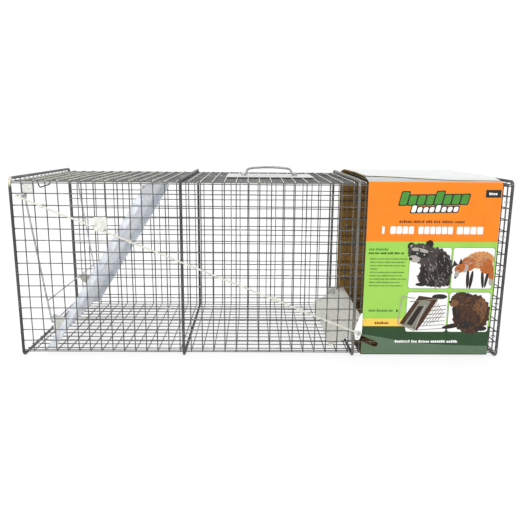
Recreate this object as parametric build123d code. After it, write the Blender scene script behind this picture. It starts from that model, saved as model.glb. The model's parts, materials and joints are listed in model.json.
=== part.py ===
from build123d import *
import math
import os

# Live catch trap: a wire mesh cage on four hoops, with a falling door, a lock frame that holds the
# door shut, a trip plate, and a trigger rod that runs down the near side from the door to the plate.
# Millimetres. +Z is up, the door is at the -X end and the near side is at -Y. The origin is on the
# ground, in the middle of the trap.

os.makedirs("parts", exist_ok=True)

# --- Cage sizes -----------------------------------------------------------------------------------
hoop_span = 1069.8  # front hoop to rear hoop, centre to centre
cage_width = 381.0  # between the upright wires of the two sides
cage_height = 381.0  # between the cross wires of the floor and of the roof
mesh_pitch = 25.4
wire_d = 2.4
clip_wire_d = 1.8  # rings that tie the rear panel to the sides
hoop_d = 6.4
hoop_inner_bend = 6.8
first_ring_gap = 20.8  # front hoop to the first ring of cross wires
last_ring_gap = 7.6  # last ring of cross wires to the rear hoop
through_gap = 0.8  # least gap round a rod where it passes through the mesh
run_gap = 0.3  # gap round a turning pin or axle
side_play = 0.4  # gap between flat pieces that slide past each other
seat_gap = 0.05  # gap round a shank that is fixed in its hole

# --- Places along the cage, counted in rings of cross wires from the door ------------------------
hinge_ring = 11
middle_hoop_ring = 14
middle_hoop_offset = 8.9
guide_ring = 7
handle_ring = 22
trip_hoop_ring = 29
trip_hoop_offset = 10.2
hook_ring = 2

# --- Door ----------------------------------------------------------------------------------------
lip_ring = 2
lip_after_ring = 1.9
hinge_drop = 10.2  # roof wires down to the hinge rod
hinge_rod_d = 4.0
sheet_t = 1.2
door_side_gap = 8.3  # upright wires to the edge of the door
flange_depth = 16.0
flange_top_gap = 14.0
flange_foot_gap = 12.0
lip_r = 2.2
lip_floor_gap = 1.0
set_catch_reach = 246.0  # hinge to the catch that holds the door up
set_catch_width = 18.0
set_catch_height = 21.0
lock_catch_length = 46.0
lock_catch_height = 26.0
catch_foot = 11.0
catch_inset = 4.0
catch_rivet_inset = 4.0
lock_catch_slant = 6.0  # how far the horn's outer edge leans in
lock_catch_tip = 3.0
lock_catch_shoulder = 14.0
lock_bar_side_gap = 3.0  # lock frame's bar to the horn
lock_bar_under_gap = 1.0  # lock frame's bar to the shoulder under it
rivet_d = 3.0
rivet_head_d = 6.4
rivet_crown_d = 3.8
rivet_head_h = 1.3

# --- Lock frame -----------------------------------------------------------------------------------
lock_wire_d = 4.0
lock_bar_rise = 64.3  # floor wires up to the frame's lower bar when the door is shut
lock_bar_stand = 18.3  # middle of the door's sheet out to the lower bar
lock_cross_gap = 52.0  # lower bar up to the cross wire
lock_cross_d = 3.2
lock_pin_bend = 2.4
lock_corner_bend = 8.0
pin_stand_out = 5.6  # how far the lock frame's pins and the hinge rod stand out of the mesh
cap_r = 4.6
cap_t = 1.2
bracket_t = 1.2
bracket_ear = 6.0

# --- Trip plate and trigger crank --------------------------------------------------------------------
trip_length = 98.0
trip_slope = 29.0
trip_side_gap = 12.7
trip_floor_gap = 8.2
trip_corner = 3.0
axle_along = 66.0  # lower edge of the plate to the axle
axle_d = 4.0
axle_stub = 0.8  # how far the axle stands out of the crank
strap_wire_d = 1.8
strap_inset = 16.0
strap_bend = 1.2
strap_side_gap = 0.3  # strap to the axle
strap_gap = 0.1  # strap to the plate and under the axle
crank_t = 1.2
crank_arm = 11.0
crank_top = 67.0
crank_front = 8.5
crank_foot = 5.0
crank_rear = 9.5
crank_front_rise = 15.0  # axle up to the front corner
crank_rear_rise = 10.0  # axle up to the rear corner
crank_foot_half = 4.2
crank_round = 2.0
trip_swing = 24.0  # degrees the plate lifts to its set position
crank_pin_d = 3.0
pin_head_d = 6.6
pin_head_t = 1.0

# --- Trigger rod and its guides -----------------------------------------------------------------------
rod_d = 4.0
rod_bend = 5.0
finger_end_gap = 1.0  # mesh to the inner end of the rod's finger
eye_slack = 1.25
eye_wall = 3.2
eye_t = 3.0
guide_wall = 0.8
guide_slack = 0.5
guide_length = 19.0
clip_lines = (-3, -6, 5, 4, 3)  # line wires counted up from the floor, or down from the roof
clip_lengths = (6.0, 6.0, 12.0, 7.0, 6.0)

# --- Carrying handle ----------------------------------------------------------------------------------
handle_plate_length = 208.0
handle_plate_width = 132.0
handle_plate_t = 1.0
handle_plate_corner = 2.0
handle_lip = 3.2
handle_lip_inset = 2.0
handle_rod_d = 6.0
handle_span = 116.0
handle_reach = 52.0
handle_shoulder_drop = 11.0  # crown of the grip to its shoulders
handle_taper = 5.0  # foot to shoulder
handle_foot_bend = 4.0
handle_shoulder_bend = 20.0
handle_crown_bend = 120.0
handle_pin = 11.0
handle_tilt = 17.0  # degrees above flat where the handle rests
saddle_t = 1.2
saddle_width = 7.0
saddle_foot = 8.0
saddle_inset = 1.0  # handle's foot bend to the saddle
saddle_rivet_grip = 1.0  # how far the saddle's rivets stand under the plate
tag_hole_d = 5.0
tag_hole_row = 25.4

# --- Card sleeve ----------------------------------------------------------------------------------------
sleeve_length = 288.0
sleeve_t = 1.5
sleeve_gap = 0.3
sleeve_after_ring = 3.8
notch_rise = 33.5  # floor wires up to the middle of the notch's mouth
notch_depth = 41.0
notch_width = 13.4

# --- Roof hook ----------------------------------------------------------------------------------------
hook_wire_d = 2.6
hook_drop = 12.0
hook_tail = 5.0  # how far the tail leans forward
hook_reach = 21.0
hook_tip_drop = 5.0
hook_bend = 3.0

# --- Derived places -------------------------------------------------------------------------------
front_x = -hoop_span / 2
rear_x = hoop_span / 2
half_w = cage_width / 2
floor_z = hoop_d + 1.5 * wire_d
roof_z = floor_z + cage_height
line_out = half_w + wire_d  # line wires of the sides lie outside the upright wires
mesh_in = half_w - wire_d / 2
mesh_out = line_out + wire_d / 2
hoop_out = mesh_out + hoop_d
edge_inset = hoop_inner_bend - 1.5 * wire_d


def spaced(low, high):
    """Places from low to high, evenly spaced at about the mesh pitch."""
    count = round((high - low) / mesh_pitch)
    return [low + (high - low) * i / count for i in range(count + 1)]


def with_edges(low, high):
    """Mesh lines between two edges, the first and last drawn in to clear the hoops' bends."""
    lines = spaced(low, high)
    return [low + edge_inset] + lines[1:-1] + [high - edge_inset]


rings = spaced(front_x + first_ring_gap, rear_x - last_ring_gap)
side_lines = with_edges(floor_z, roof_z)
deck_lines = with_edges(-half_w, half_w)


def ring(number):
    return rings[number - 1]


middle_hoop_x = ring(middle_hoop_ring) + middle_hoop_offset
trip_hoop_x = ring(trip_hoop_ring) + trip_hoop_offset


# --- Shapes -----------------------------------------------------------------------------------------
def bar(start, end, diameter):
    """A straight round bar between two points."""
    span = Vector(*end) - Vector(*start)
    return Solid.make_cylinder(diameter / 2, span.length, Plane(origin=start, z_dir=span))


def bent_bar(points, diameter, bends, closed=False):
    """A round bar bent through the points."""
    path = FilletPolyline(*points, radius=bends, close=closed)
    section = Plane(origin=path @ 0, z_dir=path % 0) * Circle(diameter / 2)
    return sweep(section, path=path).solid()


def block(x, y, z):
    """A box between two places on each axis."""
    size = (x[1] - x[0], y[1] - y[0], z[1] - z[0])
    return Pos(sum(x) / 2, sum(y) / 2, sum(z) / 2) * Box(*size)


def across(points, y_low, y_high):
    """A flat piece that lies in the XZ plane, from its outline."""
    face = Plane.XZ.offset(-y_high) * make_face(Polyline(*points, close=True))
    return extrude(face, y_high - y_low)


def pin_y(x, z, y_low, y_high, radius):
    """A round pin along Y."""
    return bar((x, y_low, z), (x, y_high, z), 2 * radius)


def washer_y(x, z, y_low, y_high, outer_r, inner_r):
    return pin_y(x, z, y_low, y_high, outer_r) - pin_y(x, z, y_low, y_high, inner_r)


def rivet(plane, grip):
    """A rivet whose shank runs down from the plane, with a shallow head at each end."""
    head = Cone(rivet_head_d / 2, rivet_crown_d / 2, rivet_head_h)
    top = Pos(0, 0, rivet_head_h / 2) * head
    foot = Pos(0, 0, -grip - rivet_head_h / 2) * Rot(180, 0, 0) * head
    shank = Pos(0, 0, -grip / 2) * Cylinder(rivet_d / 2, grip)
    return plane * (top + shank + foot)


def mirrored(shape):
    """The same piece on the other side of the trap."""
    return mirror(shape, about=Plane.XZ)


def save(name, *shapes):
    solids = [solid for shape in shapes for solid in shape.solids()]
    export_step(Compound(solids), f"parts/{name}.step")


# --- Mesh panels ------------------------------------------------------------------------------------
line_ends = (front_x - hoop_d / 2, rear_x + hoop_d / 2)


def side_mesh(side):
    """Upright wires with the line wires welded outside them."""
    ends = (floor_z - wire_d / 2, roof_z + wire_d / 2)
    uprights = [bar((x, side * half_w, ends[0]), (x, side * half_w, ends[1]), wire_d) for x in rings]
    y = side * line_out
    lines = [bar((line_ends[0], y, z), (line_ends[1], y, z), wire_d) for z in side_lines]
    return uprights + lines


def deck_mesh(cross_z, line_z):
    """Cross wires of the roof or the floor, with the line wires welded outside them."""
    cross = [bar((x, -mesh_in, cross_z), (x, mesh_in, cross_z), wire_d) for x in rings]
    lines = [bar((line_ends[0], y, line_z), (line_ends[1], y, line_z), wire_d) for y in deck_lines]
    return cross + lines


def rear_mesh():
    """The closed rear end: uprights against the last ring, with line wires behind them."""
    upright_x = rings[-1] + wire_d
    line_x = upright_x + wire_d
    ends = (floor_z - wire_d / 2, roof_z + wire_d / 2)
    reach = half_w + wire_d / 2
    uprights = [bar((upright_x, y, ends[0]), (upright_x, y, ends[1]), wire_d) for y in deck_lines]
    lines = [bar((line_x, -reach, z), (line_x, reach, z), wire_d) for z in side_lines]
    return uprights + lines


save("near_side_mesh", *side_mesh(-1))
save("far_side_mesh", *side_mesh(1))
save("roof_mesh", *deck_mesh(roof_z, roof_z + wire_d))
save("floor_mesh", *deck_mesh(floor_z, floor_z - wire_d))
save("rear_mesh", *rear_mesh())


def mesh_clips():
    """Rings that tie the rear panel to the sides, between the line wires."""
    edge = (rings[-1] + wire_d, half_w - edge_inset)
    upright = (rings[-1], half_w)
    gap = math.dist(edge, upright)
    major = gap / 2 + wire_d / 2 + seat_gap + clip_wire_d / 2
    x = (edge[0] + upright[0]) / 2
    y = (edge[1] + upright[1]) / 2
    clips = []
    for low, high in zip(side_lines[1:-2:3], side_lines[2:-1:3]):
        clip = Pos(x, -y, (low + high) / 2) * Torus(major, clip_wire_d / 2)
        clips += [clip, mirrored(clip)]
    return clips


save("mesh_clips", *mesh_clips())


# --- Hoops --------------------------------------------------------------------------------------------
def hoop(x):
    y = mesh_out + hoop_d / 2
    low = hoop_d / 2
    high = roof_z + 1.5 * wire_d + hoop_d / 2
    corners = [(x, -y, low), (x, y, low), (x, y, high), (x, -y, high)]
    return bent_bar(corners, hoop_d, hoop_inner_bend + hoop_d / 2, closed=True)


save("front_hoop", hoop(front_x))
save("middle_hoop", hoop(middle_hoop_x))
save("trip_hoop", hoop(trip_hoop_x))
save("rear_hoop", hoop(rear_x))

# --- Door ---------------------------------------------------------------------------------------------
hinge_x = ring(hinge_ring) + wire_d / 2 + through_gap + hinge_rod_d / 2
hinge_z = roof_z - hinge_drop
lip_x = ring(lip_ring) + lip_after_ring
lip_z = floor_z + wire_d / 2 + lip_floor_gap + lip_r
slope = math.atan2(hinge_z - lip_z, hinge_x - lip_x)
down_slope = (-math.cos(slope), 0, -math.sin(slope))
out_of_door = (-math.sin(slope), 0, math.cos(slope))
# on the door, x runs down the slope from the hinge and z stands out of the outer face
on_door = Plane(origin=(hinge_x, 0, hinge_z), x_dir=down_slope, z_dir=out_of_door)
door_length = math.dist((hinge_x, hinge_z), (lip_x, lip_z))
door_half = half_w - door_side_gap - wire_d / 2
barrel_r = hinge_rod_d / 2 + run_gap + sheet_t
catch_y = door_half - catch_inset

lock_x = ring(1) + wire_d / 2 + through_gap + lock_wire_d / 2
lock_z = side_lines[-2] - wire_d / 2 - through_gap - lock_wire_d / 2
# the lower bar lies across the door, and the frame's legs run from its pins down to the bar
lock_bar_z = floor_z + lock_bar_rise
bar_along = (hinge_z - lock_bar_z + lock_bar_stand * math.cos(slope)) / math.sin(slope)
lock_bar_x = hinge_x - bar_along * math.cos(slope) - lock_bar_stand * math.sin(slope)
lock_leg = math.dist((lock_x, lock_z), (lock_bar_x, lock_bar_z))

rod_reach = mesh_out + pin_stand_out
save("hinge_rod", pin_y(hinge_x, hinge_z, -rod_reach, rod_reach, hinge_rod_d / 2))


def cap(x, z, fit_r):
    """A push-on cap outside the near side mesh."""
    return washer_y(x, z, -mesh_out - side_play - cap_t, -mesh_out - side_play, cap_r, fit_r + seat_gap)


hinge_cap = cap(hinge_x, hinge_z, hinge_rod_d / 2)
save("hinge_rod_caps", hinge_cap, mirrored(hinge_cap))


def foot_places(middle, length):
    """The two rivets of a catch's foot."""
    reach = length / 2 - catch_rivet_inset
    return (middle - reach, middle + reach)


lock_catch_places = foot_places(bar_along, lock_catch_length)
set_catch_places = foot_places(set_catch_reach, set_catch_width)
foot_y = catch_y - catch_foot / 2 - sheet_t / 2


def catch_rivets():
    face = sheet_t / 2 + sheet_t
    places = [(x, -foot_y) for x in lock_catch_places]
    places += [(x, foot_y) for x in lock_catch_places]
    places += [(x, foot_y) for x in set_catch_places]
    return [(x, y, face) for x, y in places]


def rivet_holes():
    radius = rivet_d / 2 + seat_gap
    return [Pos(x, y, 0) * Cylinder(radius, 8 * sheet_t) for x, y, _ in catch_rivets()]


def door_panel():
    """A sheet rolled round the hinge rod, with a rounded lip and two side flanges."""
    sheet = block((0, door_length), (-door_half, door_half), (-sheet_t / 2, sheet_t / 2))
    lip = Pos(door_length, 0, 0) * Rot(90, 0, 0) * Cylinder(lip_r, 2 * door_half)
    barrel = Rot(90, 0, 0) * Cylinder(barrel_r, 2 * door_half)
    foot_x = door_length - flange_foot_gap
    outline = [(flange_top_gap, 0), (door_length - lip_r, 0), (foot_x, -flange_depth)]
    outline += [(flange_top_gap + flange_depth / 2, -flange_depth)]
    flange = across(outline, door_half - sheet_t, door_half)
    bore = Rot(90, 0, 0) * Cylinder(hinge_rod_d / 2 + run_gap, 3 * door_half)
    panel = sheet + lip + barrel + flange + mirrored(flange) - bore
    for hole in rivet_holes():
        panel = panel - hole
    return on_door * panel


save("door_panel", door_panel())


def catch(outline, foot_span, side):
    """An upright ear with a riveted foot on the outer face of the door."""
    face = sheet_t / 2
    ear = across([(x, face + z) for x, z in outline], catch_y - sheet_t / 2, catch_y + sheet_t / 2)
    foot = block(foot_span, (catch_y - catch_foot, catch_y), (face, face + sheet_t))
    piece = ear + foot
    if side < 0:
        piece = mirrored(piece)
    for hole in rivet_holes():
        piece = piece - hole
    return on_door * piece


def lock_catch(side):
    """The ear beside the lock frame's bar: a horn up the slope from it and a low shoulder below it."""
    start = bar_along - lock_catch_length / 2
    end = bar_along + lock_catch_length / 2
    seat = lock_bar_stand - lock_wire_d / 2 - lock_bar_under_gap - sheet_t / 2
    horn = bar_along - lock_wire_d / 2 - lock_bar_side_gap
    outline = [(start, 0), (start + lock_catch_slant, lock_catch_height)]
    outline += [(horn - lock_catch_tip, lock_catch_height), (horn, seat)]
    outline += [(end - lock_catch_shoulder, seat), (end, 0)]
    return catch(outline, (start, end), side)


def set_catch():
    """The five-sided ear on the near edge that the set trap holds the door up by."""
    low = set_catch_reach - set_catch_width / 2
    high = set_catch_reach + set_catch_width / 2
    shoulder = 0.6 * set_catch_height
    outline = [(low, 0), (low, shoulder), (set_catch_reach, set_catch_height), (high, shoulder), (high, 0)]
    return catch(outline, (low, high), 1)


save("lock_catches", lock_catch(1), lock_catch(-1))
save("set_catch", set_catch())
save("door_rivets", *[rivet(on_door * Pos(*place), 2 * sheet_t) for place in catch_rivets()])


# --- Lock frame -----------------------------------------------------------------------------------------
lock_y = mesh_in - bracket_t - side_play - lock_wire_d / 2


def lock_frame():
    corners = [(lock_x, -rod_reach, lock_z), (lock_x, -lock_y, lock_z), (lock_bar_x, -lock_y, lock_bar_z)]
    corners += [(x, -y, z) for x, y, z in reversed(corners)]
    bends = [lock_pin_bend, lock_corner_bend, lock_corner_bend, lock_pin_bend]
    return bent_bar(corners, lock_wire_d, bends)


def lock_cross_wire():
    share = 1 - lock_cross_gap / lock_leg
    x = lock_x + share * (lock_bar_x - lock_x)
    z = lock_z + share * (lock_bar_z - lock_z)
    reach = lock_y - lock_wire_d / 2
    return pin_y(x, z, -reach, reach, lock_cross_d / 2)


lock_cap = cap(lock_x, lock_z, lock_wire_d / 2)
save("lock_frame", lock_frame())
save("lock_cross_wire", lock_cross_wire())
save("lock_pin_caps", lock_cap, mirrored(lock_cap))


def lock_bracket():
    """A plate inside the near mesh, with an ear that carries the lock frame's pin."""
    left = ring(1) - wire_d / 2
    right = ring(2) + wire_d / 2
    low = side_lines[-2] + wire_d / 2
    high = side_lines[-1] - wire_d / 2
    ear_right = lock_x + bracket_ear
    ear_low = lock_z - bracket_ear
    outline = [(left, ear_low), (ear_right, ear_low), (ear_right, low)]
    outline += [(right, low), (right, high), (left, high)]
    plate = across(outline, -mesh_in, -mesh_in + bracket_t)
    return plate - pin_y(lock_x, lock_z, -mesh_out, 0, lock_wire_d / 2 + run_gap)


save("lock_bracket_near", lock_bracket())
save("lock_bracket_far", mirrored(lock_bracket()))

# --- Trip plate -----------------------------------------------------------------------------------------
axle_x = (trip_hoop_x + hoop_d / 2 + ring(trip_hoop_ring + 1) - wire_d / 2) / 2
tilt = math.radians(trip_slope)
up_plate = (math.cos(tilt), 0, math.sin(tilt))
above_plate = (-math.sin(tilt), 0, math.cos(tilt))
trip_half = half_w - trip_side_gap
trip_low_z = floor_z + trip_floor_gap
axle_below = sheet_t / 2 + axle_d / 2
# the plate rests on the axle, so its lower edge follows from the axle's place and the slope
trip_low_x = axle_x - axle_along * up_plate[0] + axle_below * above_plate[0]
axle_z = trip_low_z + axle_along * up_plate[2] - axle_below * above_plate[2]
on_plate = Plane(origin=(trip_low_x, 0, trip_low_z), x_dir=up_plate, z_dir=above_plate)
strap_half = axle_d / 2 + strap_side_gap + strap_wire_d / 2
strap_y = trip_half - strap_inset
rod_y = -(hoop_out + side_play + crank_t + side_play + rod_d / 2)
crank_y = -(hoop_out + side_play)
reach_out = -rod_y + rod_d / 2 + guide_slack + guide_wall


def strap_holes(y):
    radius = strap_wire_d / 2 + strap_gap
    return [Pos(axle_along + side * strap_half, y, 0) * Cylinder(radius, 8 * sheet_t) for side in (-1, 1)]


def trip_plate():
    plate = block((0, trip_length), (-trip_half, trip_half), (-sheet_t / 2, sheet_t / 2))
    plate = fillet(plate.edges().filter_by(Axis.Z), trip_corner)
    for hole in strap_holes(strap_y) + strap_holes(-strap_y):
        plate = plate - hole
    return on_plate * plate


def axle_strap(y):
    """A wire link round the axle and through the plate."""
    top = sheet_t / 2 + strap_gap + strap_wire_d / 2
    foot = -axle_below - axle_d / 2 - strap_gap - strap_wire_d / 2
    left = axle_along - strap_half
    right = axle_along + strap_half
    corners = [(left, y, foot), (right, y, foot), (right, y, top), (left, y, top)]
    return on_plate * bent_bar(corners, strap_wire_d, strap_bend, closed=True)


def axle_bearing():
    """A plate inside the near mesh with the axle's hole in it."""
    left = ring(trip_hoop_ring) - wire_d / 2
    right = ring(trip_hoop_ring + 1) + wire_d / 2
    low = side_lines[1] + wire_d / 2
    high = side_lines[2] - wire_d / 2
    plate = block((left, right), (-mesh_in, -mesh_in + bracket_t), (low, high))
    return plate - pin_y(axle_x, axle_z, -mesh_out, 0, axle_d / 2 + run_gap)


save("trip_plate", trip_plate())
save("trip_axle", pin_y(axle_x, axle_z, crank_y - crank_t - axle_stub, reach_out, axle_d / 2))
save("axle_straps", axle_strap(strap_y), axle_strap(-strap_y))
save("axle_bearings", axle_bearing(), mirrored(axle_bearing()))
save("axle_cap", mirrored(cap(axle_x, axle_z, axle_d / 2)))

# --- Trigger rod ----------------------------------------------------------------------------------------
# the finger stands in the cell between the front hoop and the first ring, and moves down and back
finger_gap = wire_d / 2 + through_gap + rod_d / 2
finger_z = side_lines[-2] - finger_gap
half_swing = math.radians(trip_swing) / 2


def crank_pin_place(rod_angle):
    """The crank's arm is square to the rod half way through the plate's swing."""
    lean = rod_angle - half_swing
    return (axle_x + crank_arm * math.sin(lean), axle_z + crank_arm * math.cos(lean))


rod_angle = math.atan2(finger_z - axle_z - crank_arm, axle_x - ring(1))
rod_travel = crank_arm * 2 * half_swing
finger_x = ring(1) - finger_gap - rod_travel * math.cos(rod_angle)
for _ in range(20):
    pin_x, pin_z = crank_pin_place(rod_angle)
    rod_angle = math.atan2(finger_z - pin_z, pin_x - finger_x)
    finger_x = ring(1) - finger_gap - rod_travel * math.cos(rod_angle)
rod_dir = (math.cos(rod_angle), 0, -math.sin(rod_angle))
eye_in = crank_pin_d / 2 + eye_slack
eye_out = eye_in + eye_wall


def rod_height(x):
    return finger_z - (x - finger_x) * math.tan(rod_angle)


def trigger_rod():
    """A finger through the mesh, the long rod, and a flattened eye at the crank."""
    join = eye_in + eye_wall / 2
    end = (pin_x - join * rod_dir[0], rod_y, pin_z - join * rod_dir[2])
    finger_end = (finger_x, -mesh_in + finger_end_gap, finger_z)
    rod = bent_bar([finger_end, (finger_x, rod_y, finger_z), end], rod_d, rod_bend)
    eye = pin_y(pin_x, pin_z, rod_y - eye_t / 2, rod_y + eye_t / 2, eye_out)
    hole = pin_y(pin_x, pin_z, rod_y - rod_d, rod_y + rod_d, eye_in)
    return rod + eye - hole


def trigger_crank():
    """A pointed plate on the near end of the axle, its foot narrowed round the axle."""
    corners = [(axle_x - crank_front, axle_z + crank_front_rise)]
    corners += [(axle_x + crank_rear, axle_z + crank_top)]
    corners += [(axle_x + crank_rear, axle_z + crank_rear_rise)]
    corners += [(axle_x + side * crank_foot_half, axle_z - crank_foot) for side in (1, -1)]
    plate = across(corners, crank_y - crank_t, crank_y)
    plate = fillet(plate.edges().filter_by(Axis.Y), crank_round)
    plate = plate - pin_y(axle_x, axle_z, rod_y, -mesh_out, axle_d / 2 + seat_gap)
    return plate - pin_y(pin_x, pin_z, rod_y, -mesh_out, crank_pin_d / 2 + seat_gap)


def crank_pin():
    shank = pin_y(pin_x, pin_z, rod_y - eye_t / 2 - side_play, crank_y, crank_pin_d / 2)
    head_y = rod_y - eye_t / 2 - side_play
    return shank + pin_y(pin_x, pin_z, head_y - pin_head_t, head_y, pin_head_d / 2)


save("trigger_rod", trigger_rod())
save("trigger_crank", trigger_crank())
save("crank_pin", crank_pin())


def rod_tunnel(x, length, grow):
    """A round passage along the rod, at x, wider than the rod by grow all round."""
    centre = (x, rod_y, rod_height(x))
    half = (length / 2 * rod_dir[0], 0, length / 2 * rod_dir[2])
    start = tuple(c - h for c, h in zip(centre, half))
    end = tuple(c + h for c, h in zip(centre, half))
    return bar(start, end, rod_d + 2 * grow)


def guide_channel(x, length):
    """A square channel from the mesh out round the rod, lying along it."""
    height = rod_d + 2 * guide_slack + 2 * guide_wall
    out = reach_out - mesh_out
    channel = Box(length, out, height) - Box(3 * length, out - 2 * guide_wall, height - 2 * guide_wall)
    return Pos(x, -mesh_out - out / 2, rod_height(x)) * Rot(0, math.degrees(rod_angle), 0) * channel


def rod_guide():
    """A plate over one cell of the mesh, folded at its foot into a channel round the rod."""
    left = ring(guide_ring) - wire_d / 2
    right = ring(guide_ring + 1) + wire_d / 2
    low = rod_height(right)
    high = min(z for z in side_lines if z > rod_height(left) + mesh_pitch / 2) + wire_d / 2
    plate = block((left, right), (-mesh_out - guide_wall, -mesh_out), (low, high))
    return plate + guide_channel((left + right) / 2, guide_length)


def rod_clip(line, length):
    """A small block where the rod crosses a line wire, with a groove for the wire."""
    z = side_lines[line]
    x = finger_x + (finger_z - z) / math.tan(rod_angle)
    grow = rod_d / 2 + guide_slack + guide_wall
    body = block((x - length / 2, x + length / 2), (-reach_out, -line_out), (z - grow, z + grow))
    wire = bar((x - length, -line_out, z), (x + length, -line_out, z), wire_d)
    return body - wire - rod_tunnel(x, 4 * length, guide_slack)


save("rod_guide", rod_guide())
save("rod_clips", *[rod_clip(line, length) for line, length in zip(clip_lines, clip_lengths)])

# --- Handle plate and carrying handle ------------------------------------------------------------------
handle_x = ring(handle_ring)
deck_z = roof_z + 1.5 * wire_d
deck_top = deck_z + handle_plate_t
pivot_z = deck_top + run_gap + handle_rod_d / 2
pin_end = handle_span / 2 + handle_pin
saddle_x = handle_span / 2 + handle_pin / 2 + saddle_inset
saddle_in = handle_rod_d / 2 + run_gap
saddle_out = saddle_in + saddle_t
saddle_rivet_y = saddle_out + saddle_foot / 2
tag_hole_span = 5 * (rings[1] - rings[0])


def rivet_spots():
    return [(handle_x + sx * saddle_x, sy * saddle_rivet_y) for sx in (-1, 1) for sy in (-1, 1)]


def handle_plate():
    """A plate on the roof's line wires, its long edges turned down between them."""
    x = (handle_x - handle_plate_length / 2, handle_x + handle_plate_length / 2)
    half = handle_plate_width / 2
    plate = block(x, (-half, half), (deck_z, deck_top))
    plate = fillet(plate.edges().filter_by(Axis.Z), handle_plate_corner)
    lip_x = (x[0] + handle_lip_inset, x[1] - handle_lip_inset)
    lip = block(lip_x, (-half, -half + handle_plate_t), (deck_top - handle_lip, deck_top))
    plate = plate + lip + mirrored(lip)
    for x_at, y_at in rivet_spots():
        plate = plate - Pos(x_at, y_at, deck_top) * Cylinder(rivet_d / 2 + seat_gap, 10)
    for side in (-1, 1):
        place = Pos(handle_x + side * tag_hole_span / 2, -tag_hole_row, deck_top)
        plate = plate - place * Cylinder(tag_hole_d / 2, 10)
    return plate


def saddle(side):
    """A strap over the handle's pin, with a riveted foot each side of it."""
    drop = pivot_z - deck_top
    arch = Circle(saddle_out) + Pos(0, -drop / 2) * Rectangle(2 * saddle_out, drop)
    tunnel = Circle(saddle_in) + Pos(0, -drop / 2) * Rectangle(2 * saddle_in, drop)
    feet = Pos(0, saddle_t / 2 - drop) * Rectangle(2 * (saddle_out + saddle_foot), saddle_t)
    below = Pos(0, -drop - saddle_out) * Rectangle(4 * saddle_out, 2 * saddle_out)
    start = handle_x + side * saddle_x - saddle_width / 2
    end_face = Plane(origin=(start, 0, pivot_z), x_dir=(0, 1, 0), z_dir=(1, 0, 0))
    strap = extrude(end_face * (arch + feet - tunnel - below), saddle_width)
    for x_at, y_at in rivet_spots():
        strap = strap - Pos(x_at, y_at, deck_top) * Cylinder(rivet_d / 2 + seat_gap, 10)
    return strap


def saddle_rivet(x, y):
    """A short rivet whose foot stays above the roof's cross wires."""
    head = Cone(rivet_head_d / 2, rivet_crown_d / 2, rivet_head_h)
    shank_low = deck_z - saddle_rivet_grip
    shank_high = deck_top + saddle_t
    shank = Pos(x, y, (shank_low + shank_high) / 2) * Cylinder(rivet_d / 2, shank_high - shank_low)
    return shank + Pos(x, y, shank_high + rivet_head_h / 2) * head


def carry_handle():
    """A low bow with a pin turned out at each foot, tipped back to where it rests."""
    half = handle_span / 2
    shoulder = (-half + handle_taper, handle_reach - handle_shoulder_drop, 0)
    corners = [(-pin_end, 0, 0), (-half, 0, 0), shoulder, (0, handle_reach, 0)]
    corners += [(-x, y, z) for x, y, z in reversed(corners[:-1])]
    side_bends = [handle_foot_bend, handle_shoulder_bend]
    bow = bent_bar(corners, handle_rod_d, side_bends + [handle_crown_bend] + side_bends[::-1])
    return Pos(handle_x, 0, pivot_z) * Rot(handle_tilt, 0, 0) * bow


save("handle_plate", handle_plate())
save("handle_saddles", saddle(-1), saddle(1))
save("saddle_rivets", *[saddle_rivet(x, y) for x, y in rivet_spots()])
save("carry_handle", carry_handle())


# --- Roof hook ------------------------------------------------------------------------------------------
def roof_hook():
    """A bent wire that hangs inside the near side, under the roof."""
    x = (ring(hook_ring) + ring(hook_ring + 1)) / 2
    y = -lock_y
    top = roof_z - wire_d / 2
    corners = [(x - hook_tail, y, top), (x, y, top - hook_drop)]
    corners += [(x + hook_reach, y, top - hook_tip_drop), (x + hook_reach + hook_tail / 3, y, top)]
    return bent_bar(corners, hook_wire_d, hook_bend)


save("roof_hook", roof_hook())


# --- Card sleeve ----------------------------------------------------------------------------------------
def card_sleeve():
    """A card tube round the rear of the cage, notched at its front edge in line with the rod."""
    low = ring(trip_hoop_ring + 1) + sleeve_after_ring
    x = (low, low + sleeve_length)
    y = mesh_out + sleeve_gap
    bottom = hoop_d - sleeve_gap
    top = deck_z + sleeve_gap
    outer = block(x, (-y - sleeve_t, y + sleeve_t), (bottom - sleeve_t, top + sleeve_t))
    inner = block((x[0] - 1, x[1] + 1), (-y, y), (bottom, top))
    mouth = Plane(origin=(low, -y - sleeve_t / 2, floor_z + notch_rise), x_dir=(1, 0, 0), z_dir=(0, -1, 0))
    notch = SlotOverall(2 * notch_depth, notch_width)
    cut = mouth * Rot(0, 0, -math.degrees(rod_angle)) * extrude(notch, 2 * sleeve_t, both=True)
    return outer - inner - cut


save("card_sleeve", card_sleeve())

print(f"rings {len(rings)}  hinge {hinge_x:.2f} {hinge_z:.2f}  door length {door_length:.2f}")
print(f"lock pivot {lock_x:.2f} {lock_z:.2f}  bar {lock_bar_x:.2f} {lock_bar_z:.2f}")
print(f"bar on the door: {bar_along:.2f} along  slope {math.degrees(slope):.3f}")
print(f"axle {axle_x:.2f} {axle_z:.2f}  crank pin {pin_x:.2f} {pin_z:.2f}")
print(f"rod angle {math.degrees(rod_angle):.3f}  travel {rod_travel:.2f}")
print(f"finger {finger_x:.2f} {finger_z:.2f}")
print(f"handle pivot {handle_x:.2f} 0 {pivot_z:.2f}  near and far reach {reach_out:.2f}")
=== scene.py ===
import json
import math
import random

import bmesh
import bpy
from mathutils import Matrix, Vector, noise


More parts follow.
